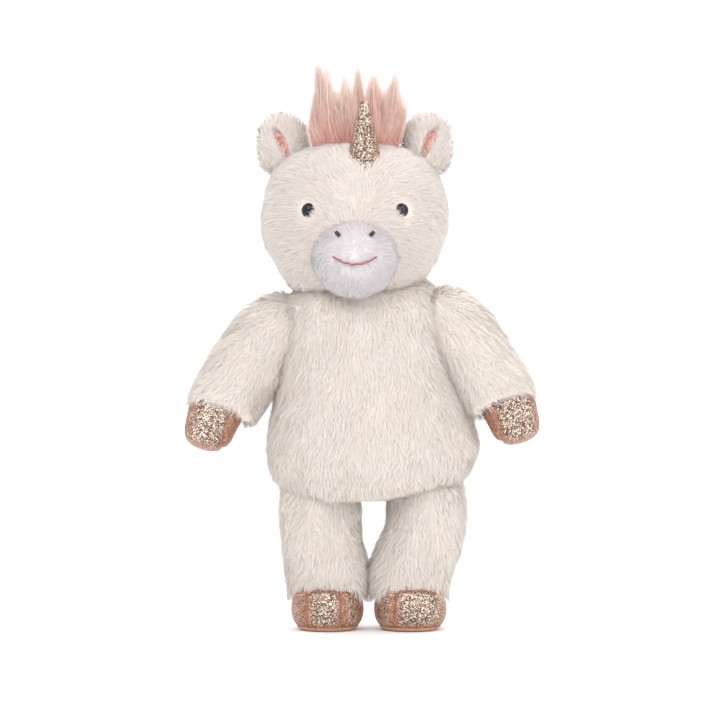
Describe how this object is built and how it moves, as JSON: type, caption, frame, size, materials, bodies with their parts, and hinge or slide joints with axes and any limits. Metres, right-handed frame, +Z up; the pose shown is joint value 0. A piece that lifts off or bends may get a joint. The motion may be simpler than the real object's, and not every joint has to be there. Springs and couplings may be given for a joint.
{
  "type": "plush unicorn",
  "caption": "Standing plush unicorn in cream faux fur with glitter horn and hooves, a pink mane, stitched face and soft swinging limbs.",
  "frame": {"origin": "on the floor, midway between the hooves of the arms and midway from front to back", "axes": "+Z up, the face looks along -Y, +X is to the right of someone facing the toy"},
  "size_m": [0.2138, 0.1203, 0.3445],
  "materials": {
    "body_fur": "matte",
    "muzzle_plush": "matte",
    "mane_fur": "matte",
    "ear_lining": "matte",
    "glitter_cloth": "satin",
    "sole_cloth": "satin",
    "fibre_fill": "matte",
    "eye_plastic": "gloss",
    "washer_plastic": "matte",
    "dark_thread": "matte",
    "rose_thread": "matte",
    "cream_thread": "matte"
  },
  "bodies": {
    "torso": {"torso_skin": "body_fur", "torso_stuffing": "fibre_fill"},
    "neck": {"neck_seam": "cream_thread"},
    "head": {"head_skin": "body_fur", "head_stuffing": "fibre_fill", "muzzle_patch": "muzzle_plush", "mouth_stitch": "rose_thread", "left_nostril_stitch": "dark_thread", "right_nostril_stitch": "dark_thread", "left_eye": "eye_plastic", "right_eye": "eye_plastic", "left_eye_washer": "washer_plastic", "right_eye_washer": "washer_plastic", "horn_cover": "glitter_cloth", "horn_stuffing": "fibre_fill", "mane_backing": "mane_fur", "mane_pile": "mane_fur"},
    "left_ear": {"left_ear_outer": "body_fur", "left_ear_lining": "ear_lining"},
    "right_ear": {"right_ear_outer": "body_fur", "right_ear_lining": "ear_lining"},
    "left_shoulder": {"left_shoulder_seam": "cream_thread"},
    "right_shoulder": {"right_shoulder_seam": "cream_thread"},
    "left_arm": {"left_arm_sleeve": "body_fur", "left_hoof_front": "glitter_cloth", "left_hoof_side": "glitter_cloth", "left_arm_stuffing": "fibre_fill"},
    "right_arm": {"right_arm_sleeve": "body_fur", "right_hoof_front": "glitter_cloth", "right_hoof_side": "glitter_cloth", "right_arm_stuffing": "fibre_fill"},
    "left_leg": {"left_leg_sleeve": "body_fur", "left_foot_front": "glitter_cloth", "left_foot_back": "glitter_cloth", "left_foot_sole": "sole_cloth", "left_leg_stuffing": "fibre_fill"},
    "right_leg": {"right_leg_sleeve": "body_fur", "right_foot_front": "glitter_cloth", "right_foot_back": "glitter_cloth", "right_foot_sole": "sole_cloth", "right_leg_stuffing": "fibre_fill"},
    "tail": {"tail_pile": "mane_fur"}
  },
  "joints": [
    {"name": "head_turn", "type": "hinge", "parent": "torso", "child": "neck", "pos_m": [-0.001, 0, 0.202], "axis": [0, 0, 1], "range_deg": [-32, 32], "stiffness_Nm_per_rad": 0.5},
    {"name": "head_nod", "type": "hinge", "parent": "neck", "child": "head", "pos_m": [-0.001, 0, 0.202], "axis": [1, 0, 0], "range_deg": [-12, 12], "stiffness_Nm_per_rad": 1.5},
    {"name": "left_ear_fold", "type": "hinge", "parent": "head", "child": "left_ear", "pos_m": [-0.0487, 0.002, 0.282], "axis": [1, 0, 0], "range_deg": [-20, 20], "stiffness_Nm_per_rad": 0.05},
    {"name": "right_ear_fold", "type": "hinge", "parent": "head", "child": "right_ear", "pos_m": [0.0403, 0.002, 0.282], "axis": [1, 0, 0], "range_deg": [-20, 20], "stiffness_Nm_per_rad": 0.05},
    {"name": "left_arm_swing", "type": "hinge", "parent": "torso", "child": "left_shoulder", "pos_m": [-0.046, 0, 0.183], "axis": [-1, 0, 0], "range_deg": [-30, 60], "stiffness_Nm_per_rad": 0.3},
    {"name": "left_arm_lift", "type": "hinge", "parent": "left_shoulder", "child": "left_arm", "pos_m": [-0.046, 0, 0.183], "axis": [0, 1, 0], "range_deg": [0, 40], "stiffness_Nm_per_rad": 0.3},
    {"name": "right_arm_swing", "type": "hinge", "parent": "torso", "child": "right_shoulder", "pos_m": [0.046, 0, 0.187], "axis": [-1, 0, 0], "range_deg": [-30, 60], "stiffness_Nm_per_rad": 0.3},
    {"name": "right_arm_lift", "type": "hinge", "parent": "right_shoulder", "child": "right_arm", "pos_m": [0.046, 0, 0.187], "axis": [0, -1, 0], "range_deg": [0, 40], "stiffness_Nm_per_rad": 0.3},
    {"name": "left_leg_swing", "type": "hinge", "parent": "torso", "child": "left_leg", "pos_m": [-0.0255, 0, 0.092], "axis": [-1, 0, 0], "range_deg": [-20, 60], "stiffness_Nm_per_rad": 3},
    {"name": "right_leg_swing", "type": "hinge", "parent": "torso", "child": "right_leg", "pos_m": [0.0385, 0, 0.092], "axis": [-1, 0, 0], "range_deg": [-20, 60], "stiffness_Nm_per_rad": 3},
    {"name": "tail_swing", "type": "hinge", "parent": "torso", "child": "tail", "pos_m": [0.0045, 0.038, 0.122], "axis": [1, 0, 0], "range_deg": [-6, 35], "stiffness_Nm_per_rad": 0.02}
  ]
}
